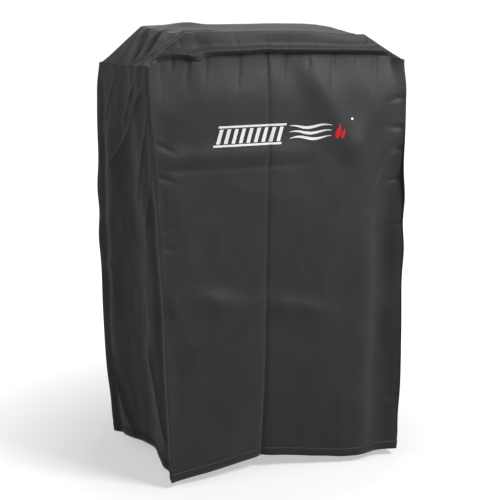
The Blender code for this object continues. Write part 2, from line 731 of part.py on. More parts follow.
# ---------------------------------------------------------------- the door
def door():
    """Door: steel skin, wool, stainless inner panel and the rope gasket."""
    stem_hole = rod("stem_hole", (GAUGE_X, DOOR_FRONT_Y - 0.01, GAUGE_Z), 0.08, STEM_RADIUS + 0.0005, "Y", sides=12)
    skin = open_box(
        "door_skin",
        (DOOR_LEFT_X, DOOR_FRONT_Y, DOOR_BOTTOM_Z),
        (DOOR_RIGHT_X, DOOR_BACK_Y, DOOR_TOP_Z),
        "+Y",
        0.0012,
        "black_enamel",
        bevel=0.004,
    )
    cut(skin, stem_hole)
    inset = 0.0012 + GAP
    panel_y = DOOR_BACK_Y - 0.0012
    middle = ((DOOR_LEFT_X + DOOR_RIGHT_X) / 2, (DOOR_BOTTOM_Z + DOOR_TOP_Z) / 2)
    panel_outline = rounded_rectangle(
        (DOOR_RIGHT_X - DOOR_LEFT_X) / 2 - inset, (DOOR_TOP_Z - DOOR_BOTTOM_Z) / 2 - inset, 0.005, steps=3
    )
    stem_outline = [
        (GAUGE_X - middle[0] + u, GAUGE_Z - middle[1] + v) for u, v in arc((0, 0), STEM_RADIUS + 0.0005, 0, 330, 11)
    ]
    flat_plate(
        "door_liner",
        [panel_outline, stem_outline],
        0.0010,
        (middle[0], panel_y + 0.0006, middle[1]),
        "stainless",
        turn=(math.radians(90), 0, 0),
    )
    clear = 0.0045
    wool = box(
        "door_insulation",
        (DOOR_LEFT_X + clear, DOOR_FRONT_Y + 0.0012 + GAP, DOOR_BOTTOM_Z + clear),
        (DOOR_RIGHT_X - clear, panel_y - GAP, DOOR_TOP_Z - clear),
        "insulation",
    )
    cut(wool, stem_hole)
    radius = 0.0023
    y = DOOR_BACK_Y + GAP + radius
    centre_z = (LINER_BOTTOM_Z + LINER_TOP_Z) / 2
    half_z = (LINER_TOP_Z - LINER_BOTTOM_Z) / 2 + 0.004
    loop = rounded_rectangle(0.192, half_z, 0.014, steps=4, centre=(0.0, centre_z))
    tube("door_gasket", [(u, y, v) for u, v in loop], radius, "rubber", cyclic=True, resolution=2)


def gauge():
    """Door thermometer: cup with its probe stem, printed face, needle and glass."""
    back = DOOR_FRONT_Y - GAP
    cup_depth = 0.0125
    cup = rod("gauge_cup", (GAUGE_X, back - cup_depth, GAUGE_Z), cup_depth, GAUGE_RADIUS, "Y", "chrome_wire", 36)
    cut(
        cup,
        rod("cup_inside", (GAUGE_X, back - cup_depth - 0.01, GAUGE_Z), cup_depth + 0.0085, GAUGE_RADIUS - 0.003, "Y", sides=36),
    )
    fuse(cup, rod("gauge_stem", (GAUGE_X, back - 0.001, GAUGE_Z), 0.085, STEM_RADIUS, "Y", sides=12))
    inner = GAUGE_RADIUS - 0.003 - GAP
    rod("gauge_face", (GAUGE_X, back - 0.0015 - GAP - 0.001, GAUGE_Z), 0.001, inner, "Y", "gauge_face", 36)
    rod("gauge_glass", (GAUGE_X, back - cup_depth + 0.0008, GAUGE_Z), 0.0015, inner, "Y", "gauge_glass", 36)
    hub_y = back - 0.0015 - GAP - 0.001 - GAP
    needle = rod("gauge_needle", (GAUGE_X, hub_y - 0.0030, GAUGE_Z), 0.0030, 0.0035, "Y", "needle_red", 16)
    pointer = box("needle_pointer", (GAUGE_X - 0.0010, hub_y - 0.0022, GAUGE_Z - 0.009), (GAUGE_X + 0.0010, hub_y - 0.0012, GAUGE_Z + 0.024))
    fuse(needle, pointer)
    hub = Vector((GAUGE_X, 0.0, GAUGE_Z))
    for piece in (needle, pointer):
        turn = Matrix.Translation(hub) @ Matrix.Rotation(math.radians(-NEEDLE_COLD), 4, "Y")
        piece.data.transform(turn @ Matrix.Translation(-hub))


def hinges():
    """Two butt hinges on the right edge: cabinet leaves with two knuckles each, door leaves with one."""
    third = HINGE_HEIGHT / 3
    leaf_x = (HALF, HALF + 0.0027)
    front = DOOR_FRONT_Y - GAP
    for number, (label, centre_z) in enumerate(zip(("upper", "lower"), HINGE_CENTRES_Z)):
        low = centre_z - HINGE_HEIGHT / 2
        bore = rod(f"hinge_bore_{number}", (HINGE_X, HINGE_Y, low - 0.02), HINGE_HEIGHT + 0.04, PIN_RADIUS + GAP, "Z", sides=16)
        fixed = box(
            f"hinge_{label}_cabinet_leaf",
            (leaf_x[0], HINGE_Y + 0.007, low),
            (leaf_x[1], -0.085, low + HINGE_HEIGHT),
            "stainless",
        )
        for end, z in enumerate((low, low + 2 * third + 0.0005)):
            tab = box(f"tab_{number}_{end}", (leaf_x[0], HINGE_Y, z), (leaf_x[1] - 0.0001, HINGE_Y + 0.0085, z + third - 0.0005))
            fuse(fixed, tab, rod(f"knuckle_{number}_{end}", (HINGE_X, HINGE_Y, z), third - 0.0005, KNUCKLE_RADIUS, "Z", sides=20))
        cut(fixed, bore)
        z0, z1 = low + third + GAP, low + 2 * third - GAP
        moving = box(f"hinge_{label}_door_leaf", (0.160, front - 0.0022, z0), (HINGE_X - 0.001, front, z1), "stainless")
        fuse(moving, rod(f"middle_{number}", (HINGE_X, HINGE_Y, z0 + 0.0001), z1 - z0 - 0.0002, KNUCKLE_RADIUS, "Z", sides=20))
        cut(moving, bore)


def hinge_pins():
    """A headed pin through each hinge's knuckles."""
    for label, centre_z in zip(("upper", "lower"), HINGE_CENTRES_Z):
        low = centre_z - HINGE_HEIGHT / 2
        pin = rod(
            f"hinge_pin_{label}", (HINGE_X, HINGE_Y, low - 0.002), HINGE_HEIGHT + 0.004, PIN_RADIUS, "Z", "stainless", 12
        )
        for end, z in enumerate((low - 0.0025, low + HINGE_HEIGHT + 0.0005)):
            fuse(pin, rod(f"pin_head_{label}_{end}", (HINGE_X, HINGE_Y, z), 0.0020, 0.0036, "Z", sides=12))


def latch():
    """Turning latch: base on the door, handle with its tongue, and the hooked keeper on the left wall."""
    front = DOOR_FRONT_Y - GAP
    base_y = (front - 0.0075, front)
    base = box("latch_base", (LATCH_X - 0.020, base_y[0], LATCH_Z - 0.030), (LATCH_X + 0.024, base_y[1], LATCH_Z + 0.030), "black_plastic", bevel=0.003)
    cut(base, rod("latch_bore", (LATCH_X, front - 0.02, LATCH_Z), 0.03, 0.0063, "Y", sides=20))
    tongue_y = (front - 0.0115, front - 0.0080)
    handle = rod("latch_handle", (LATCH_X, front - 0.0225, LATCH_Z), 0.0222, 0.006, "Y", "black_plastic", 20)
    tongue = box("latch_tongue", (LATCH_X - 0.007, tongue_y[0], LATCH_Z - 0.007), (LATCH_X + 0.007, tongue_y[1], LATCH_Z + 0.0445))
    lever = box("latch_lever", (LATCH_X - 0.010, front - 0.0245, LATCH_Z - 0.009), (LATCH_X + 0.090, front - 0.0165, LATCH_Z + 0.009), bevel=0.003)
    fuse(handle, tongue, lever)
    wall_x = -HALF
    plate = box("latch_keeper", (wall_x - 0.0016, -0.1500, LATCH_Z - 0.020), (wall_x, -0.0900, LATCH_Z + 0.020), "stainless")
    lip_y = (front - 0.0145, front - 0.0123)
    outer = wall_x - 0.020
    pieces = [
        box("keeper_flange", (outer, -0.1500, LATCH_Z - 0.0198), (wall_x - 0.0001, -0.1482, LATCH_Z + 0.0198)),
        box("keeper_arm", (outer, lip_y[0], LATCH_Z - 0.0196), (outer + 0.0018, -0.1484, LATCH_Z + 0.0196)),
        box("keeper_lip", (outer + 0.0001, lip_y[0] + 0.0001, LATCH_Z - 0.0194), (-0.2110, lip_y[1], LATCH_Z + 0.0194)),
    ]
    fuse(plate, *pieces)


# ---------------------------------------------------------------- assembly
cover_top_panel()
cover_hanging_panels()
cover_hem_binding()

cabinet_shell(*through_holes())
vent()
rack_ladder("rack_ladder_left", -1)
rack_ladder("rack_ladder_right", 1)
for number, level in enumerate(LEDGES_Z[1:], start=1):
    cooking_grate(f"cooking_grate_{number}", level)
water_pan()
burner()
control_unit()
side_handle("side_handle_left", -1)
side_handle("side_handle_right", 1)
undercarriage()
grease_tray()

door()
gauge()
hinges()
hinge_pins()
latch()

ride_on("cover_lift_axis", (0, 0, COVER_TOP_Z), "cover_top_panel", "cover_front_panel", "cover_back_panel",
        "cover_left_panel", "cover_right_panel", "cover_hem_binding")
ride_on("door_hinge_axis", (HINGE_X, HINGE_Y, DOOR_BOTTOM_Z), "door_skin", "door_liner", "door_insulation",
        "door_gasket", "gauge_cup", "gauge_face", "gauge_glass", "hinge_upper_door_leaf", "hinge_lower_door_leaf",
        "latch_base")
ride_on("latch_axis", (LATCH_X, DOOR_FRONT_Y, LATCH_Z), "latch_handle")
ride_on("needle_axis", (GAUGE_X, DOOR_FRONT_Y, GAUGE_Z), "gauge_needle")
ride_on("damper_axis", (DAMPER_PIVOT_X, VENT_Y, ROOF_TOP_Z), "vent_damper")
ride_on("dial_axis", (CONTROL_X[1], DIAL_Y, DIAL_Z), "control_dial")
ride_on("rocker_axis", (CONTROL_X[1] - 0.003, SWITCH_Y, SWITCH_Z), "power_rocker")
ride_on("wheel_axis_left", (-WHEEL_X, AXLE_Y, WHEEL_RADIUS), "wheel_left")
ride_on("wheel_axis_right", (WHEEL_X, AXLE_Y, WHEEL_RADIUS), "wheel_right")
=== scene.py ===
"""Electric cabinet smoker standing under its fitted fabric cover.

The cover is five cloth panels sewn together, with a doubled hem; the smoker stands under it.
Metres, +Z up, the door facing -Y, the origin on the ground at the centre of the cover.
"""

import math

import bmesh
import bpy
import numpy as np
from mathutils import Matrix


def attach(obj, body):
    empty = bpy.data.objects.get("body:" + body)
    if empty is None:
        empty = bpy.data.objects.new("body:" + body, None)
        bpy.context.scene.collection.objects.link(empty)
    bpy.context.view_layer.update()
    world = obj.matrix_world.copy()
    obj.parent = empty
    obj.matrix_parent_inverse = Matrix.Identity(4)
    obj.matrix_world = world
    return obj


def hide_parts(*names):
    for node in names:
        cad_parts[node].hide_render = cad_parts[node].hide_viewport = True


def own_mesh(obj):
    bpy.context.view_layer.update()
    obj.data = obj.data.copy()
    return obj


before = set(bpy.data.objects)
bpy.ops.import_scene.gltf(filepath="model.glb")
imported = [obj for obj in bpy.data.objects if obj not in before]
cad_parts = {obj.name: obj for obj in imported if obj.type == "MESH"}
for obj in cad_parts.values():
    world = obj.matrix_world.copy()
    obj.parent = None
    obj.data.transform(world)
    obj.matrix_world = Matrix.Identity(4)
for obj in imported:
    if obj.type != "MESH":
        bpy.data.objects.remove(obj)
scene = bpy.context.scene
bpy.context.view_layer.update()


# ------------------------------------------------------------------ cover: hanging panels
# Four panels of coated woven polyester hang from the shoulder seam to the hem. They are cut
# square and meet in stitched vertical fins; long storage in a packet has left fold marks.
SHOULDER_HEIGHT = 0.93
SHOULDER_X, SHOULDER_Y = 0.297, 0.1915
# Each vertical edge: its side and face, then its lean out at the hem and bow out half way, for x and y.
EDGES = {
    "front_left": (-1, -1, (-0.040, -0.006), (-0.002, 0.001)),
    "front_right": (1, -1, (0.006, 0.003), (-0.004, 0.002)),
    "rear_right": (1, 1, (-0.006, 0.009), (-0.007, 0.005)),
    "rear_left": (-1, 1, (-0.013, 0.014), (-0.011, 0.007)),
}
ROWS = 300


def corner(name, z):
    """x and y of a vertical edge at height z.

    With u = z / shoulder height, it stands lean (1 - u) + bow 4 u (1 - u) outside the shoulder.
    """
    side, face, (lean_x, bow_x), (lean_y, bow_y) = EDGES[name]
    u = z / SHOULDER_HEIGHT
    slack = 4 * u * (1 - u)
    return (
        side * (SHOULDER_X + lean_x * (1 - u) + bow_x * slack),
        face * (SHOULDER_Y + lean_y * (1 - u) + bow_y * slack),
    )


def bell(x, middle, width):
    """Gaussian bump: exp(-((x - middle) / width)^2)."""
    return np.exp(-(((x - middle) / width) ** 2))


def step(x, low, high):
    """Smoothstep from 0 at low to 1 at high; high may be the smaller."""
    t = np.clip((x - low) / (high - low), 0.0, 1.0)
    return t * t * (3.0 - 2.0 * t)


def ridge_line(x, z, ends, width, sharpness=1.0):
    """Relief along a straight fold.

    It falls off across the fold as exp(-(distance / width)^(2 sharpness)), and fades at its ends.
    """
    (x0, z0), (x1, z1) = ends
    along = np.array((x1 - x0, z1 - z0))
    length = np.hypot(*along)
    along /= length
    t = (x - x0) * along[0] + (z - z0) * along[1]
    across = -(x - x0) * along[1] + (z - z0) * along[0]
    fade = step(t, -0.15 * length, 0.2 * length) * step(t, 1.15 * length, 0.8 * length)
    return np.exp(-(np.abs(across / width) ** (2 * sharpness))) * fade


def crumple(shape, size, lengths, seed):
    """Smooth random relief between -1 and 1: white noise low-passed over two lengths in metres."""
    noise = np.random.default_rng(seed).standard_normal(shape)
    across = np.fft.fftfreq(shape[1], size[0] / shape[1])[None, :]
    up = np.fft.fftfreq(shape[0], size[1] / shape[0])[:, None]
    keep = np.exp(-2 * math.pi**2 * ((across * lengths[0]) ** 2 + (up * lengths[1]) ** 2))
    relief = np.fft.ifft2(np.fft.fft2(noise) * keep).real
    return relief / np.abs(relief).max()


def hanging_panel(left, right, columns, hem, seam, relief, seed):
    """Grid of points between two vertical edges. hem and seam give heights along the panel from 0 to 1;
    relief(t, z, x) is how far the cloth stands out along the panel's outward normal."""
    t = np.linspace(0.0, 1.0, columns)[None, :]
    v = np.linspace(0.0, 1.0, ROWS)[:, None]
    z = hem(t) * (1 - v) + seam(t) * v
    (xl, yl), (xr, yr) = corner(left, z), corner(right, z)
    x, y = xl * (1 - t) + xr * t, yl * (1 - t) + yr * t
    width = float(np.hypot(xr - xl, yr - yl).mean())
    out = np.array((yr.mean() - yl.mean(), -(xr.mean() - xl.mean())))
    out /= np.hypot(*out)
    edge = step(t, 0.0, 0.05) * step(t, 1.0, 0.95)
    wide = crumple(z.shape, (width, 0.9), (0.045, 0.070), seed)
    fine = crumple(z.shape, (width, 0.9), (0.012, 0.020), seed + 1)
    sharp = 0.3 - np.abs(crumple(z.shape, (width, 0.9), (0.030, 0.040), seed + 2))
    stand = relief(t, z, x) + edge * (0.0046 * wide + 0.0013 * fine + 0.0040 * sharp)
    x, y = x + stand * out[0], y + stand * out[1]
    for end, name in ((t, left), (1 - t, right)):
        cx, cy = corner(name, z)
        fin = 0.0050 * (0.65 + 0.35 * np.sin(z * 31.0 + 2.0 * np.sin(z * 11.0))) * np.exp(-end * width / 0.006)
        fin = fin * step(z, 0.925, 0.86) * step(z, 0.0, 0.10)
        x, y = x + fin * np.sign(cx) * 0.707, y + fin * np.sign(cy) * 0.707
    return np.stack((x, y, z), axis=-1), width


def grid_object(name, points, size, material=None):
    """Mesh of quads over a grid of points, with a UV map in metres."""
    rows, columns = points.shape[:2]
    mesh = bpy.data.meshes.new(name)
    index = np.arange(rows * columns).reshape(rows, columns)
    quads = np.stack((index[:-1, :-1], index[:-1, 1:], index[1:, 1:], index[1:, :-1]), axis=-1).reshape(-1, 4)
    mesh.from_pydata(points.reshape(-1, 3).tolist(), [], quads.tolist())
    u, v = np.meshgrid(np.linspace(0, size[0], columns), np.linspace(0, size[1], rows))
    uv = np.stack((u, v), axis=-1).reshape(-1, 2)[quads.reshape(-1)]
    mesh.uv_layers.new(name="cloth").data.foreach_set("uv", uv.astype(np.float32).ravel())
    mesh.shade_smooth()
    obj = bpy.data.objects.new(name, mesh)
    scene.collection.objects.link(obj)
    if material:
        mesh.materials.append(material)
    return obj


def front_hem(t):
    """The hem climbs to the pleat in the middle and comes down again to the right."""
    climb = np.interp(t, (0.0, 0.42, 0.74, 1.0), (0.0, 1.0, 0.05, 0.0))
    return 0.015 + 0.017 * climb + 0.002 * t


def front_seam(t):
    return 0.932 + 0.019 * (1 - np.abs(2 * t - 1) ** 3.5) - 0.010 * bell(t, 0.19, 0.035) + 0.003 * bell(t, 0.44, 0.05)


def front_relief(t, z, x):
    """Pleat at the hem, centre fold mark, level fold marks, and the slack fold on the right."""
    tent = np.interp(t, (0.0, 0.42, 0.74, 1.0), (0.0, 1.0, 0.06, 0.0))
    stand = -tent * (0.040 * np.exp(-z / 0.15) + 0.010 * np.exp(-((z / 0.55) ** 2)))
    stand -= 0.0062 * np.exp(-np.abs(x + 0.027) / 0.005) * (0.55 + 0.45 * step(z, 0.75, 0.15))
    stand -= 0.0145 * step(z, 0.82, 0.95) ** 1.8 * step(t, 0.0, 0.05) * step(t, 1.0, 0.95)
    left_half, right_half = step(x, 0.0, -0.05), step(x, -0.03, 0.02)
    fold_mark = bell(z, 0.410 + 0.010 * np.sin(x * 26), 0.028)
    stand += 0.0095 * left_half * step(t, 0.0, 0.05) * fold_mark * (0.7 + 0.3 * np.sin(x * 41 + 1))
    stand += 0.0065 * right_half * step(x, 0.20, 0.08) * bell(z, 0.392 - 0.12 * (x + 0.02) + 0.006 * np.sin(x * 38), 0.022)
    stand += 0.0050 * step(t, 0.0, 0.08) * step(x, 0.12, 0.0) * bell(z, 0.738, 0.022)
    stand -= 0.0022 * step(t, 0.0, 0.08) * step(x, 0.10, 0.0) * bell(z, 0.712, 0.008)
    turn = 0.255 + 0.03 * step(z, 0.55, 0.72)
    stand -= 0.018 * bell(x, turn, 0.032) * step(z, 0.76, 0.62) * step(z, -0.1, 0.2)
    stand += 0.0085 * bell(x, 0.205, 0.040) * step(z, 0.72, 0.55)
    stand += 0.0090 * ridge_line(x, z, ((0.06, 0.93), (0.20, 0.70)), 0.034)
    stand += 0.0060 * ridge_line(x, z, ((0.28, 0.90), (0.17, 0.72)), 0.026)
    stand -= 0.0050 * ridge_line(x, z, ((0.30, 0.76), (0.215, 0.60)), 0.014)
    for height, tilt in ((0.85, 0.2), (0.78, -0.1), (0.735, 0.3), (0.665, 0.2), (0.565, 0.5), (0.15, 0.4)):
        stand -= 0.0035 * bell(z, height - tilt * (0.30 - x), 0.006) * step(x, 0.245, 0.285) * step(t, 1.0, 0.985)
    for height, tilt in ((0.77, 0.5), (0.70, 0.3), (0.58, -0.3), (0.385, -0.2), (0.55, 0.2)):
        stand -= 0.0022 * bell(z, height - tilt * (x + 0.28), 0.006) * step(x, -0.225, -0.262) * step(t, 0.0, 0.02)
    for place in (-0.24, -0.205, -0.165, -0.09, 0.015, 0.07, 0.13, 0.19, 0.235, 0.27):
        reach = 0.075 + 0.035 * math.sin(place * 60)
        stand -= 0.0022 * bell(x, place - 0.15 * (0.94 - z), 0.006) * step(z, 0.95 - reach, 0.94) * step(t, 1.0, 0.97)
    return stand


def left_hem(t):
    return 0.015 + 0.020 * np.sin(math.pi * t) ** 1.3 + 0.006 * t


def left_seam(t):
    return 0.917 + 0.015 * t**2 - 0.004 * bell(t, 0.35, 0.05)


def left_relief(t, z, x):
    """Long upright folds of slack cloth, fed by slanting folds from the shoulder; t runs from the rear edge."""
    y = 0.19 - 0.38 * t
    low = step(z, 0.93, 0.70)
    stand = -0.022 * np.sin(math.pi * t) * np.exp(-z / 0.16)
    stand += 0.0075 * bell(y, 0.095 + 0.012 * np.sin(z * 5), 0.045) * low
    stand -= 0.0060 * bell(y, 0.155, 0.020) * low
    stand -= 0.0075 * bell(y, -0.015 - 0.03 * step(z, 0.5, 0.1), 0.055) * low
    stand += 0.0028 * bell(y, -0.090 + 0.01 * np.sin(z * 7 + 1), 0.032) * low
    stand -= 0.0065 * bell(y, -0.150, 0.020) * step(z, 0.85, 0.55)
    for ends, amount, width in (
        (((-0.150, 0.885), (0.090, 0.690)), 0.0060, 0.008),
        (((-0.120, 0.915), (0.010, 0.800)), 0.0045, 0.007),
        (((-0.175, 0.840), (-0.050, 0.620)), 0.0035, 0.009),
        (((0.060, 0.905), (0.150, 0.760)), 0.0030, 0.009),
        (((-0.170, 0.740), (-0.090, 0.520)), 0.0025, 0.009),
        (((0.150, 0.250), (0.080, 0.060)), 0.0070, 0.009),
        (((-0.080, 0.300), (-0.140, 0.080)), 0.0050, 0.010),
    ):
        stand += amount * ridge_line(y, z, ends, width, 0.6)
    return stand * step(t, 0.0, 0.05) * step(t, 1.0, 0.95) * (1 - 0.6 * bell(z, 0.905, 0.03))


def right_hem(t):
    return 0.017 + 0.012 * np.sin(math.pi * t) ** 2 + 0.004 * t


def right_seam(t):
    return 0.932 - 0.012 * step(t, 0.0, 0.5)


def right_relief(t, z, x):
    y = -0.19 + 0.38 * t
    low = step(z, 0.93, 0.72)
    stand = 0.006 * np.sin(math.pi * t) * step(z, 0.05, 0.3)
    stand += 0.0080 * bell(y, -0.09, 0.03) * low - 0.0120 * bell(y, -0.03, 0.03) * low
    stand += 0.0080 * bell(y, 0.05 + 0.02 * np.sin(z * 6), 0.026) * low - 0.0100 * bell(y, 0.13, 0.024) * low
    stand += 0.0030 * ridge_line(y, z, ((0.14, 0.90), (0.02, 0.62)), 0.016)
    stand += 0.0022 * ridge_line(y, z, ((-0.13, 0.90), (-0.08, 0.76)), 0.014)
    stand += 0.0040 * ridge_line(y, z, ((0.10, 0.30), (0.02, 0.06)), 0.010)
    return stand * step(t, 0.0, 0.05) * step(t, 1.0, 0.95) * (1 - 0.6 * bell(z, 0.905, 0.03))


def back_hem(t):
    return 0.021 + 0.010 * bell(t, 0.5, 0.12)


def back_seam(t):
    return 0.920 + 0.010 * (1 - np.abs(2 * t - 1) ** 3) - 0.003 * t


def back_relief(t, z, x):
    stand = -0.022 * bell(t, 0.5, 0.13) * np.exp(-z / 0.25)
    stand -= 0.0030 * np.exp(-np.abs(x - 0.01) / 0.005)
    stand += 0.0030 * bell(z, 0.41, 0.025) + 0.0026 * bell(z, 0.72, 0.020)
    stand += 0.0050 * ridge_line(x, z, ((0.24, 0.90), (0.10, 0.60)), 0.022)
    stand += 0.0050 * ridge_line(x, z, ((-0.25, 0.90), (-0.12, 0.66)), 0.020)
    stand -= 0.0060 * bell(x, 0.20, 0.03) * step(z, 0.70, 0.45) + 0.0060 * bell(x, -0.19, 0.03) * step(z, 0.66, 0.40)
    return stand * step(t, 0.0, 0.04) * step(t, 1.0, 0.96)


panel_grids = {
    "front": hanging_panel("front_left", "front_right", 260, front_hem, front_seam, front_relief, 11),
    "right": hanging_panel("front_right", "rear_right", 150, right_hem, right_seam, right_relief, 23),
    "back": hanging_panel("rear_right", "rear_left", 200, back_hem, back_seam, back_relief, 37),
    "left": hanging_panel("rear_left", "front_left", 170, left_hem, left_seam, left_relief, 41),
}


# ------------------------------------------------------------------ cover: top panel
# One piece of the same cloth over the roof: flat on the roof cap, sloping to the shoulder seam at
# the sides, where the carry handles hold it out, and dropping almost straight down at the front.
def top_panel(columns=260, rows=200):
    """Hip-shaped patch z = 1 - drop * smoothmax(p, q).

    Its border is pulled onto the panels' top edges by Coons blending.
    """
    a = np.linspace(-1, 1, columns)[None, :] + np.zeros((rows, 1))
    b = np.linspace(-1, 1, rows)[:, None] + np.zeros((1, columns))
    x = np.interp(a, (-1, -0.58, 0.58, 1), (-0.297, -0.205, 0.205, 0.297))
    y = np.interp(b, (-1, -0.72, 0.66, 1), (-0.1915, -0.181, 0.152, 0.1915))
    p = np.clip((np.abs(a) - 0.58) / 0.42, 0, 1)
    q = np.where(b < 0, np.clip((-b - 0.72) / 0.28, 0, 1), np.clip((b - 0.66) / 0.34, 0, 1))
    kernel = np.exp(-np.linspace(-2, 2, 15) ** 2)
    kernel /= kernel.sum()
    for axis in (0, 1):
        p, q, y, x = (
            np.apply_along_axis(
                lambda line: np.convolve(np.pad(line, 7, mode="reflect", reflect_type="odd"), kernel, "valid"), axis, f
            )
            for f in (p, q, y, x)
        )
    p, q = np.clip(p, 0, 1), np.clip(q, 0, 1)
    fall = (p**9 + q**9 + 1e-12) ** (1 / 9)
    z = 0.999 - 0.072 * np.clip(fall, 0, 1)
    z += 0.007 * bell(x, -0.115, 0.045) * bell(y, 0.105, 0.04)
    z += 0.006 * step(y, -0.06, 0.10) * (1 - fall)
    z -= 0.011 * step(x, 0.02, 0.20) * step(y, 0.02, -0.17) * (1 - fall)
    z += 0.0010 * crumple(z.shape, (0.6, 0.4), (0.03, 0.03), 5) * (1 - fall * 0.3)
    z += 0.0006 * crumple(z.shape, (0.6, 0.4), (0.010, 0.010), 6)
    for ends, amount, width in (
        (((-0.190, 0.000), (-0.292, -0.180)), 0.0070, 0.008),
        (((-0.215, 0.060), (-0.296, -0.110)), 0.0050, 0.009),
        (((-0.120, -0.120), (-0.285, -0.189)), 0.0070, 0.010),
        (((-0.200, 0.120), (-0.290, -0.070)), -0.0050, 0.008),
        (((-0.170, -0.080), (-0.270, -0.186)), 0.0040, 0.008),
        (((-0.225, 0.110), (-0.296, 0.010)), 0.0030, 0.010),
        (((-0.215, -0.010), (-0.262, -0.090)), -0.0060, 0.008),
        (((-0.225, 0.040), (-0.275, -0.040)), -0.0045, 0.009),
        (((0.215, -0.050), (0.292, -0.160)), 0.0030, 0.012),
        (((0.240, 0.060), (0.280, -0.020)), -0.0030, 0.012),
    ):
        z += 0.85 * amount * ridge_line(x, y, ends, width, 0.8)
    y -= 0.0140 * bell(b, -0.930, 0.040) * step(np.abs(x), 0.295, 0.25)
    y -= 0.0030 * bell(x, -0.10, 0.05) * bell(b, -0.86, 0.08) - 0.0030 * bell(x, -0.185, 0.02) * bell(b, -0.90, 0.10)
    y -= 0.0030 * bell(x, 0.17, 0.06) * bell(b, -0.82, 0.08)
    points = np.stack((x, y, z), axis=-1)

    def along(side, count, reverse=False):
        row = panel_grids[side][0][-1]
        row = row[::-1] if reverse else row
        t = np.linspace(0, 1, len(row))
        return np.stack([np.interp(np.linspace(0, 1, count), t, row[:, k]) for k in range(3)], axis=-1)

    want = {
        "front": along("front", columns),
        "back": along("back", columns, True),
        "left": along("left", rows, True),
        "right": along("right", rows),
    }
    off = {
        "front": want["front"] - points[0],
        "back": want["back"] - points[-1],
        "left": want["left"] - points[:, 0],
        "right": want["right"] - points[:, -1],
    }
    u, v = (a + 1) / 2, (b + 1) / 2
    weight = {"front": (1 - v) ** 14, "back": v**14, "left": (1 - u) ** 9, "right": u**9}
    points += weight["front"][..., None] * off["front"][None] + weight["back"][..., None] * off["back"][None]
    points += weight["left"][..., None] * off["left"][:, None] + weight["right"][..., None] * off["right"][:, None]
    for one, row in (("front", 0), ("back", -1)):
        for other, column in (("left", 0), ("right", -1)):
            points -= (weight[one] * weight[other])[..., None] * off[one][column]
    return points


# ------------------------------------------------------------------ cover: cloth and its finish
# Charcoal woven polyester with a matt coating: an even, slightly grainy surface with a soft sheen.
class Value:
    """A shader socket that takes part in arithmetic."""

    def __init__(self, graph, socket):
        self.graph, self.socket = graph, socket

    def _with(self, operation, other, swap=False):
        first, second = (other, self) if swap else (self, other)
        return self.graph.node("ShaderNodeMath", "Value", {0: first, 1: second}, operation=operation)

    def __add__(self, other):
        return self._with("ADD", other)

    __radd__ = __add__

    def __sub__(self, other):
        return self._with("SUBTRACT", other)

    def __rsub__(self, other):
        return self._with("SUBTRACT", other, swap=True)

    def __mul__(self, other):
        return self._with("MULTIPLY", other)

    __rmul__ = __mul__

    def __truediv__(self, other):
        return self._with("DIVIDE", other)

    def __pow__(self, other):
        return self._with("POWER", other)


class Finish:
    """A material with one Principled shader, and a method that adds any other node."""

    def __init__(self, name, **constants):
        self.material = bpy.data.materials.new(name)
        self.material.use_nodes = True
        self.tree = self.material.node_tree
        self.shader = self.tree.nodes["Principled BSDF"]
        self.set(**constants)

    def node(self, kind, output, inputs=(), **settings):
        made = self.tree.nodes.new(kind)
        for key, value in settings.items():
            setattr(made, key, value)
        for key, value in dict(inputs).items():
            if isinstance(value, Value):
                self.tree.links.new(value.socket, made.inputs[key])
            else:
                made.inputs[key].default_value = value
        return Value(self, made.outputs[output])

    def set(self, **inputs):
        for key, value in inputs.items():
            socket = self.shader.inputs[key.replace("_", " ")]
            if isinstance(value, Value):
                self.tree.links.new(value.socket, socket)
            else:
                socket.default_value = (*value, 1.0) if isinstance(value, tuple) and len(value) == 3 else value
        return self

    def place(self, kind="Object"):
        return self.node("ShaderNodeTexCoord", kind)

    def noise(self, scale, detail=2.0, roughness=0.5, stretch=(1, 1, 1), kind="Object"):
        spot = self.node("ShaderNodeMapping", "Vector", {"Vector": self.place(kind), "Scale": stretch})
        return self.node(
            "ShaderNodeTexNoise", "Fac", {"Vector": spot, "Scale": scale, "Detail": detail, "Roughness": roughness}
        )

    def between(self, factor, low, high):
        return self.node(
            "ShaderNodeMix",
            2,
            {0: factor, 6: (*low, 1.0), 7: (*high, 1.0)},
            data_type="RGBA",
        )

    def bump(self, height, strength, distance):
        normal = self.node("ShaderNodeBump", "Normal", {"Height": height, "Strength": strength, "Distance": distance})
        return self.set(Normal=normal)


def cloth_finish(name, low, high):
    cloth = Finish(name, Roughness=0.62, Specular_IOR_Level=0.35, Sheen_Weight=0.25, Sheen_Roughness=0.45)
    grain = 0.5 * cloth.noise(750.0, 2.0, 0.6) + 0.5 * cloth.noise(330.0, 2.0, 0.6)
    mottle = cloth.noise(14.0, 3.0, 0.55)
    cloth.set(Base_Color=cloth.between(0.8 * grain + 0.35 * mottle - 0.08, low, high))
    cloth.set(Roughness=0.54 + 0.16 * mottle)
    cloth.bump(grain + 2.5 * cloth.noise(160.0, 3.0, 0.6), 0.35, 0.0006)
    return cloth.material


cover_cloth = cloth_finish("cover_cloth", (0.008, 0.008, 0.0083), (0.042, 0.042, 0.0429))
hem_cloth = cloth_finish("hem_cloth", (0.007, 0.007, 0.0072), (0.034, 0.034, 0.0348))

cover_panels = {}
for side, (points, width) in panel_grids.items():
    cover_panels[side] = grid_object(f"cover_{side}_cloth", points, (width, 0.92), cover_cloth)
cover_panels["top"] = grid_object("cover_top_cloth", top_panel(), (0.70, 0.46), cover_cloth)
for piece in cover_panels.values():
    thick = piece.modifiers.new("cloth_thickness", "SOLIDIFY")
    thick.thickness = 0.0008
    thick.offset = -1.0


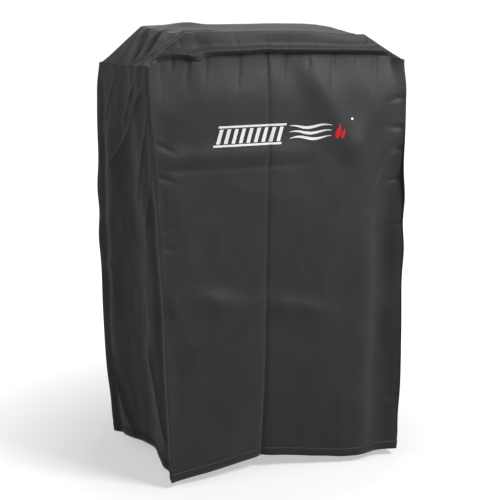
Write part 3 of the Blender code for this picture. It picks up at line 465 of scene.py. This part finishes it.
# ------------------------------------------------------------------ cover: hem
# The bottom edge is turned up twice and stitched, 18 mm deep, and runs all round.
def hem_strip():
    """Band just outside the lowest rows of the four panels, closed into a loop."""
    loops = []
    for side in ("front", "right", "back", "left"):
        points = panel_grids[side][0][:7:2]
        across = points[:, -1] - points[:, 0]
        out = np.cross(across[0], (0.0, 0.0, 1.0))
        out /= np.linalg.norm(out)
        loops.append((points + out * 0.0012)[:, :-1])
    ring = np.concatenate(loops, axis=1)
    ring = np.concatenate((ring, ring[:, :1]), axis=1)
    ring[0, :, 2] -= 0.0012
    return ring


hem = grid_object("cover_hem_cloth", hem_strip(), (1.9, 0.018), hem_cloth)
thick = hem.modifiers.new("cloth_thickness", "SOLIDIFY")
thick.thickness = 0.0022
thick.offset = -1.0


# ------------------------------------------------------------------ cover: printed emblem
# A screen print across the front panel: a slanted cooking grate, three wisps of smoke and a small red flame.
print_heights = np.linspace(0.74, 0.83, 91)
print_x, print_y = (
    np.stack([np.interp(print_heights, line[:, 2], line[:, k]) for line in panel_grids["front"][0].swapaxes(0, 1)], axis=1)
    for k in (0, 1)
)


def on_front(s, t):
    """Point of the front panel's face at s metres across and t metres up, 0.6 mm proud of the cloth."""
    row = np.interp(t, print_heights, np.arange(len(print_heights)))
    r0 = int(min(row, len(print_heights) - 2))
    near, far = (np.interp(s, print_x[r], print_y[r]) for r in (r0, r0 + 1))
    return s, float(near + (far - near) * (row - r0)) - 0.0006, t


def print_shapes(name, outlines, material, spacing=0.004):
    """Flat outlines in (across, up) metres, cut fine enough to follow the cloth."""
    bm = bmesh.new()
    for outline in outlines:
        face = bm.faces.new([bm.verts.new((s, 0.0, t)) for s, t in outline])
        face.normal_update()
    bmesh.ops.triangulate(bm, faces=bm.faces)
    for _ in range(5):
        long = [e for e in bm.edges if e.calc_length() > spacing]
        if not long:
            break
        bmesh.ops.subdivide_edges(bm, edges=long, cuts=1)
        bmesh.ops.triangulate(bm, faces=bm.faces)
    for vert in bm.verts:
        vert.co = on_front(vert.co.x, vert.co.z)
    bmesh.ops.recalc_face_normals(bm, faces=bm.faces)
    if sum(face.normal.y * face.calc_area() for face in bm.faces) > 0:
        bmesh.ops.reverse_faces(bm, faces=bm.faces)
    mesh = bpy.data.meshes.new(name)
    bm.to_mesh(mesh)
    bm.free()
    mesh.materials.append(material)
    obj = bpy.data.objects.new(name, mesh)
    scene.collection.objects.link(obj)
    return obj


def slanted(left, low, wide, high, slant=0.30):
    return [(left, low), (left + wide, low), (left + wide + slant * high, low + high), (left + slant * high, low + high)]


def wisp(left, low, length, height, width, phase):
    """Ribbon along a sine: t = low + height * sin(2 pi s / length * 1.25 + phase)."""
    steps = np.linspace(0.0, 1.0, 18)
    line = low + height * np.sin(2 * math.pi * 1.25 * steps + phase)
    half = width * np.sin(math.pi * np.clip(steps * 0.92 + 0.04, 0, 1)) / 2
    upper = [(left + s * length, t + h) for s, t, h in zip(steps, line, half)]
    lower = [(left + s * length, t - h) for s, t, h in zip(steps, line, half)]
    return lower + upper[::-1]


def flame(left, low, wide, high):
    """Drop with its tip leaning right."""
    outline = []
    for angle in np.linspace(0, 2 * math.pi, 24, endpoint=False):
        lean = (1 - math.cos(angle)) / 2
        outline.append((left + wide * (0.5 + 0.5 * math.sin(angle) * (1 - lean**1.5) + 0.45 * lean), low + high * lean))
    return outline


white_print = Finish("white_print", Roughness=0.5, Specular_IOR_Level=0.3, Base_Color=(0.80, 0.80, 0.79)).material
red_print = Finish("red_print", Roughness=0.5, Specular_IOR_Level=0.3, Base_Color=(0.62, 0.020, 0.022)).material
grate_bars = [slanted(-0.150 + 0.0175 * n, 0.764, 0.0085, 0.031) for n in range(9)]
grate_rails = [slanted(-0.157, 0.7575, 0.158, 0.0045), slanted(-0.1445, 0.7975, 0.158, 0.0045)]
smoke = [wisp(0.022, 0.768 + 0.0125 * n, 0.098, 0.0030, 0.0062, 0.6 * n) for n in range(3)]
dot = [(0.169 + 0.003 * math.cos(a), 0.806 + 0.003 * math.sin(a)) for a in np.linspace(0, 6.283, 16, endpoint=False)]
emblem_white = print_shapes("cover_emblem_white", grate_bars + grate_rails + smoke + [dot], white_print)
emblem_red = print_shapes(
    "cover_emblem_red", [flame(0.124, 0.764, 0.016, 0.036), flame(0.1385, 0.764, 0.011, 0.024)], red_print
)

cover_pieces = [*cover_panels.values(), hem, emblem_white, emblem_red]
for piece in cover_pieces:
    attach(piece, "cover")
    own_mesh(piece)
for side in ("front", "back", "left", "right", "top"):
    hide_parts(f"cover_{side}_panel")
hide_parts("cover_hem_binding")


# ------------------------------------------------------------------ cabinet sheet metal
# Folded mild steel with a black baked coating: casing, back, roof, frame, door skin, legs, handles and small fittings.
def enamel():
    coat = Finish("black_enamel", Base_Color=(0.012, 0.012, 0.013), Coat_Weight=0.25, Coat_Roughness=0.2)
    speckle = coat.noise(420.0, 3.0, 0.65)
    coat.set(Roughness=0.34 + 0.22 * speckle)
    return coat.bump(speckle, 0.18, 0.0004).material


def paint(material, *names):
    for name in names:
        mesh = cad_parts[name].data
        mesh.materials.clear()
        mesh.materials.append(material)


paint(
    enamel(),
    "outer_casing", "roof_cap", "front_rail_top", "front_rail_bottom", "front_rail_left", "front_rail_right",
    "door_skin", "vent_damper", "leg_frame",
    "axle_bracket_left", "axle_bracket_right", "side_handle_left", "side_handle_right", "tray_runner",
    "chip_box", "chip_box_lid",
)


# ------------------------------------------------------------------ stainless and plated pieces
# The liner, pans and element are bright sheet with a faint grain; racks and gauge bezel are nickel-chrome plated.
def sheet_steel():
    steel = Finish("stainless_sheet", Metallic=1.0)
    grain = steel.noise(90.0, 3.0, 0.6, stretch=(0.25, 4.0, 9.0))
    smudge = steel.noise(9.0, 2.0)
    steel.set(Base_Color=steel.between(grain, (0.46, 0.46, 0.455), (0.62, 0.62, 0.61)))
    steel.set(Roughness=0.24 + 0.14 * grain + 0.10 * smudge)
    return steel.bump(grain, 0.08, 0.0003).material


def plated():
    plate = Finish("plated_wire", Metallic=1.0, Base_Color=(0.70, 0.70, 0.71))
    return plate.set(Roughness=0.10 + 0.16 * plate.noise(60.0)).material


def heated():
    tube = Finish("heated_sheath", Metallic=0.9)
    scale = tube.noise(70.0, 4.0, 0.6)
    tube.set(Base_Color=tube.between(scale, (0.10, 0.085, 0.075), (0.23, 0.20, 0.18)), Roughness=0.45 + 0.2 * scale)
    return tube.material


paint(
    sheet_steel(),
    "inner_liner", "door_liner", "water_pan", "grease_tray", "burner_bridge", "vent_collar",
    "axle", "hinge_upper_cabinet_leaf", "hinge_lower_cabinet_leaf", "hinge_upper_door_leaf",
    "hinge_lower_door_leaf", "hinge_pin_upper", "hinge_pin_lower", "latch_keeper",
)
paint(
    plated(),
    "rack_ladder_left", "rack_ladder_right", "cooking_grate_1", "cooking_grate_2", "cooking_grate_3", "gauge_cup",
)
paint(heated(), "heating_element")


# ------------------------------------------------------------------ mineral wool
# Pressed yellow-grey wool between the skins of the cabinet and of the door.
wool = Finish("mineral_wool", Roughness=1.0, Specular_IOR_Level=0.1)
fibres = wool.noise(260.0, 5.0, 0.7, stretch=(1, 1, 3))
wool.set(Base_Color=wool.between(fibres, (0.36, 0.32, 0.17), (0.66, 0.61, 0.40)))
wool.bump(fibres, 0.7, 0.002)
paint(wool.material, "insulation_blanket", "door_insulation")


# ------------------------------------------------------------------ plastic and rubber
# Textured nylon for the controller and latch; moulded rubber for gasket, feet and tyres.
def moulded(name, colour, rough, scale, depth):
    plastic = Finish(name, Base_Color=colour)
    texture = plastic.noise(scale, 2.0, 0.5)
    plastic.set(Roughness=rough + 0.12 * texture)
    return plastic.bump(texture, 0.25, depth).material


paint(
    moulded("textured_nylon", (0.022, 0.022, 0.023), 0.42, 900.0, 0.0003),
    "control_housing", "control_dial", "power_rocker", "power_inlet", "latch_base", "latch_handle",
)
paint(
    moulded("moulded_rubber", (0.018, 0.018, 0.018), 0.72, 500.0, 0.0003),
    "door_gasket", "foot_left", "foot_right", "wheel_left", "wheel_right",
)


# ------------------------------------------------------------------ gauge, lamp
# Printed white dial with a ring of ticks behind glass, a red needle, and a red lens on the controller.
def dial_face():
    """Ticks every 15 degrees over 240 degrees: dark where |frac(angle) - 0.5| is small and the radius is on the ring."""
    face = Finish("dial_print", Roughness=0.5)
    place = face.place()
    x = face.node("ShaderNodeSeparateXYZ", "X", {0: place})
    z = face.node("ShaderNodeSeparateXYZ", "Z", {0: place}) - 0.780
    radius = face.node("ShaderNodeMath", "Value", {0: x * x + z * z}, operation="SQRT")
    angle = face.node("ShaderNodeMath", "Value", {0: x, 1: z}, operation="ARCTAN2") * (12 / math.pi)
    near = face.node("ShaderNodeMath", "Value", {0: angle, 1: 1.0}, operation="PINGPONG")
    tick = face.node("ShaderNodeMath", "Value", {0: near, 1: 0.14}, operation="LESS_THAN")
    ring = face.node("ShaderNodeMath", "Value", {0: radius, 1: 0.024, 2: 0.0028}, operation="COMPARE")
    hub = face.node("ShaderNodeMath", "Value", {0: radius, 1: 0.0205, 2: 0.0003}, operation="COMPARE")
    ink = face.node("ShaderNodeMath", "Value", {0: tick * ring, 1: hub}, operation="MAXIMUM")
    return face.set(Base_Color=face.between(ink, (0.82, 0.82, 0.80), (0.02, 0.02, 0.02))).material


paint(dial_face(), "gauge_face")
glass = Finish("gauge_glass", Base_Color=(0.95, 0.97, 0.98), Roughness=0.02, Alpha=0.12, Specular_IOR_Level=0.6)
paint(glass.material, "gauge_glass")
paint(Finish("needle_lacquer", Base_Color=(0.60, 0.02, 0.015), Roughness=0.35).material, "gauge_needle")
paint(Finish("lamp_lens", Base_Color=(0.70, 0.02, 0.015), Roughness=0.12, Coat_Weight=0.6).material, "indicator_lamp")


# ------------------------------------------------------------------ studio
# Pale floor that brightens into the surround, one soft light above the front right, and two weak fills.
floor_mesh = bpy.data.meshes.new("studio_floor")
floor_mesh.from_pydata([(-9, -9, -0.001), (9, -9, -0.001), (9, 9, -0.001), (-9, 9, -0.001)], [], [(0, 1, 2, 3)])
paint_coat = Finish("floor_paint", Base_Color=(0.55, 0.55, 0.55), Roughness=0.9, Specular_IOR_Level=0.1)
seen = paint_coat.node("ShaderNodeLightPath", "Is Camera Ray")
away = paint_coat.node("ShaderNodeVectorMath", "Value", {0: paint_coat.place()}, operation="LENGTH")
glow = paint_coat.node(
    "ShaderNodeMapRange", "Result", {"Value": away, "From Min": 0.35, "From Max": 1.1, "To Min": 0.50, "To Max": 1.1}
)
paint_coat.set(Emission_Color=(1.0, 1.0, 1.0), Emission_Strength=seen * glow)
floor_mesh.materials.append(paint_coat.material)
floor = bpy.data.objects.new("studio_floor", floor_mesh)
scene.collection.objects.link(floor)


def soft_light(name, place, aim, size, power):
    lamp = bpy.data.lights.new(name, "AREA")
    lamp.shape, lamp.size, lamp.energy = "SQUARE", size, power
    obj = bpy.data.objects.new(name, lamp)
    scene.collection.objects.link(obj)
    obj.location = place
    back = np.array(place, float) - np.array(aim, float)
    obj.rotation_euler = (math.atan2(np.hypot(back[0], back[1]), back[2]), 0.0, math.atan2(back[0], -back[1]))
    return obj


soft_light("key", (1.0, -1.60, 2.05), (0.10, 0.0, 0.85), 0.8, 58.0)
soft_light("top", (-0.5, 0.5, 2.8), (0.0, 0.0, 0.9), 1.4, 1.5)
soft_light("left_fill", (-2.5, -0.2, 1.9), (0.0, 0.0, 0.9), 0.8, 15.0)

world = bpy.data.worlds.new("studio")
world.use_nodes = True
surround = world.node_tree.nodes["Background"]
surround.inputs["Color"].default_value = (1.0, 1.0, 1.0, 1.0)
seen = world.node_tree.nodes.new("ShaderNodeLightPath")
brightness = world.node_tree.nodes.new("ShaderNodeMapRange")
brightness.inputs["To Min"].default_value, brightness.inputs["To Max"].default_value = 0.165, 1.05
world.node_tree.links.new(seen.outputs["Is Camera Ray"], brightness.inputs["Value"])
world.node_tree.links.new(brightness.outputs["Result"], surround.inputs["Strength"])
scene.world = world

camera_data = bpy.data.cameras.new("camera")
camera_data.angle = math.radians(22.4)
camera = bpy.data.objects.new("camera", camera_data)
scene.collection.objects.link(camera)
azimuth, elevation, distance = math.radians(-21.5), math.radians(12.3), 2.65
target = (-0.109, -0.287, 0.551)
camera.location = (
    target[0] + distance * math.sin(azimuth) * math.cos(elevation),
    target[1] - distance * math.cos(azimuth) * math.cos(elevation),
    target[2] + distance * math.sin(elevation),
)
camera.rotation_euler = (math.pi / 2 - elevation, 0.0, azimuth)
scene.camera = camera
scene.view_settings.view_transform = "Standard"
scene.view_settings.look = "None"
